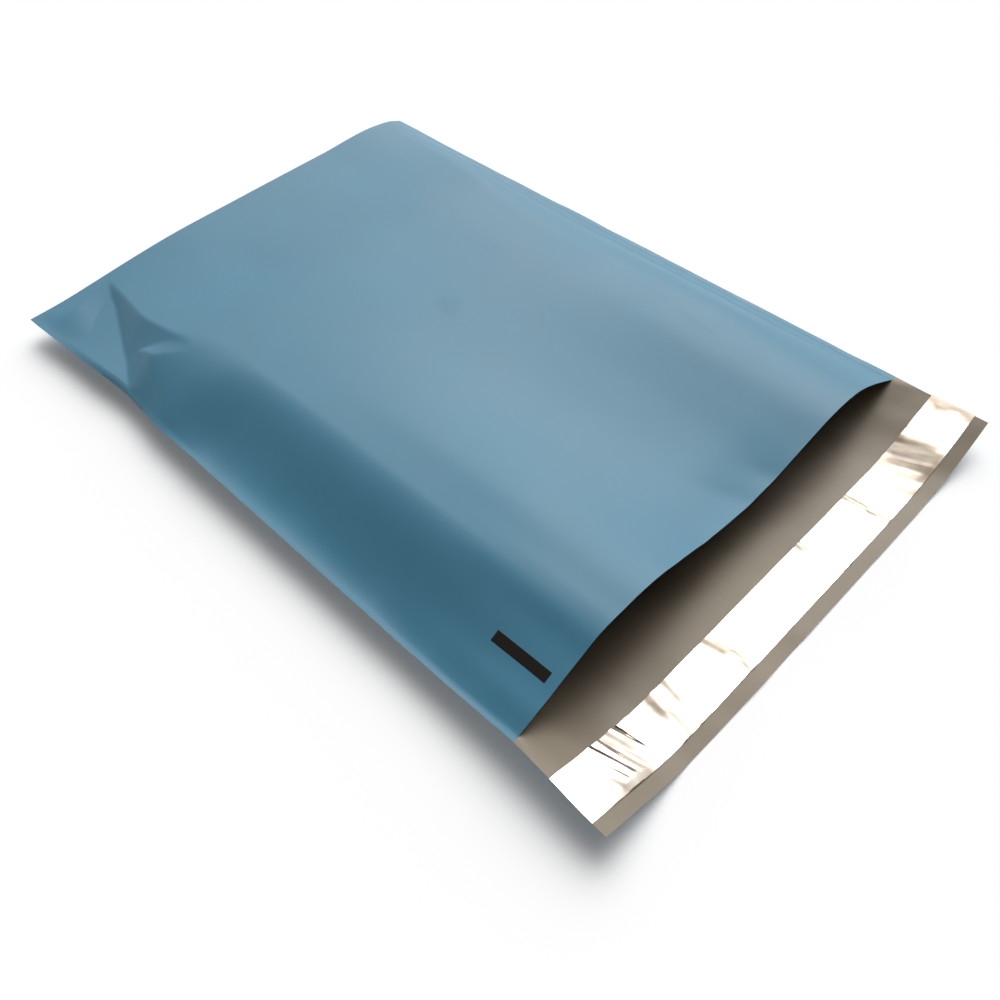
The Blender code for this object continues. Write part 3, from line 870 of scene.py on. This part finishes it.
def direction(azimuth, elevation):
    """The unit vector at an azimuth from +X and an elevation, in degrees."""
    a, e = math.radians(azimuth), math.radians(elevation)
    return Vector((math.cos(e) * math.cos(a), math.cos(e) * math.sin(a), math.sin(e)))


def soft_box(tree):
    """The light from each direction: brightest at the box's middle, and fading around it."""
    sky = tree.nodes.new("ShaderNodeTexCoord")
    toward_box = tree.nodes.new("ShaderNodeVectorMath")
    toward_box.operation = "DOT_PRODUCT"
    toward_box.inputs[1].default_value = direction(BOX_AZIMUTH, BOX_ELEVATION)
    tree.links.new(sky.outputs["Generated"], toward_box.inputs[0])
    narrowness = 2.0 / math.radians(BOX_SPREAD) ** 2
    falloff = arithmetic(tree, "MULTIPLY_ADD", toward_box.outputs["Value"], narrowness, -narrowness)
    return arithmetic(tree, "MULTIPLY", arithmetic(tree, "EXPONENT", falloff), BOX_STRENGTH)


def light_studio():
    """One soft box over the far right, and a white backdrop, which the gloss shows too."""
    world = bpy.data.worlds.new("studio")
    bpy.context.scene.world = world
    world.use_nodes = True
    tree = world.node_tree
    path = tree.nodes.new("ShaderNodeLightPath")
    light = tree.nodes["Background"]
    light.inputs["Color"].default_value = (1.0, 1.0, 1.0, 1.0)
    mirrored = arithmetic(tree, "MAXIMUM", path.outputs["Is Glossy Ray"], path.outputs["Is Transmission Ray"])
    around = arithmetic(tree, "MULTIPLY_ADD", mirrored, 1.0 - AMBIENT, AMBIENT)
    tree.links.new(arithmetic(tree, "ADD", soft_box(tree), around), light.inputs["Strength"])
    white = tree.nodes.new("ShaderNodeBackground")
    white.inputs["Color"].default_value = (1.0, 1.0, 1.0, 1.0)
    mix = tree.nodes.new("ShaderNodeMixShader")
    tree.links.new(path.outputs["Is Camera Ray"], mix.inputs["Fac"])
    tree.links.new(light.outputs["Background"], mix.inputs[1])
    tree.links.new(white.outputs["Background"], mix.inputs[2])
    tree.links.new(mix.outputs["Shader"], tree.nodes["World Output"].inputs["Surface"])


def lay_floor():
    """A plain white floor, which keeps the bag's shadow."""
    half = FLOOR_SIZE / 2.0
    corners = [(-half, -half, 0.0), (half, -half, 0.0), (half, half, 0.0), (-half, half, 0.0)]
    mesh = bpy.data.meshes.new("floor")
    mesh.from_pydata(corners, [], [(0, 1, 2, 3)])
    floor = bpy.data.objects.new("floor", mesh)
    floor.location.z = -0.00005
    bpy.context.scene.collection.objects.link(floor)
    material, tree, shader = new_material("white floor")
    shader.inputs["Base Color"].default_value = (FLOOR_COLOUR, FLOOR_COLOUR, FLOOR_COLOUR, 1.0)
    shader.inputs["Roughness"].default_value = 0.9
    shader.inputs["Specular IOR Level"].default_value = 0.0
    shader.inputs["Emission Color"].default_value = (1.0, 1.0, 1.0, 1.0)
    path = tree.nodes.new("ShaderNodeLightPath")
    seen = arithmetic(tree, "MAXIMUM", path.outputs["Is Camera Ray"], path.outputs["Is Glossy Ray"])
    seen = arithmetic(tree, "MAXIMUM", seen, path.outputs["Is Transmission Ray"])
    glow = arithmetic(tree, "MULTIPLY", seen, FLOOR_GLOW)
    tree.links.new(glow, shader.inputs["Emission Strength"])
    mesh.materials.append(material)


def aim_camera():
    """The photograph's camera, fitted to the bag's corners."""
    data = bpy.data.cameras.new("camera")
    data.sensor_width = SENSOR_MM
    data.lens = SENSOR_MM * CAMERA_FOCAL_PX / FRAME_PX
    data.shift_x = 0.5 - CAMERA_MIDDLE_PX[0] / FRAME_PX
    data.shift_y = CAMERA_MIDDLE_PX[1] / FRAME_PX - 0.5
    camera = bpy.data.objects.new("camera", data)
    turn = Matrix.Rotation(math.radians(CAMERA_AZIMUTH - 90.0), 4, "Z")
    tilt = Matrix.Rotation(math.radians(CAMERA_ELEVATION + 90.0), 4, "X")
    roll = Matrix.Rotation(math.radians(CAMERA_ROLL), 4, "Z")
    camera.matrix_world = Matrix.Translation(CAMERA_PLACE) @ turn @ tilt @ roll
    bpy.context.scene.collection.objects.link(camera)
    bpy.context.scene.camera = camera


aim_camera()
dress_bag()
light_studio()
lay_floor()
bpy.context.scene.view_settings.view_transform = "Standard"
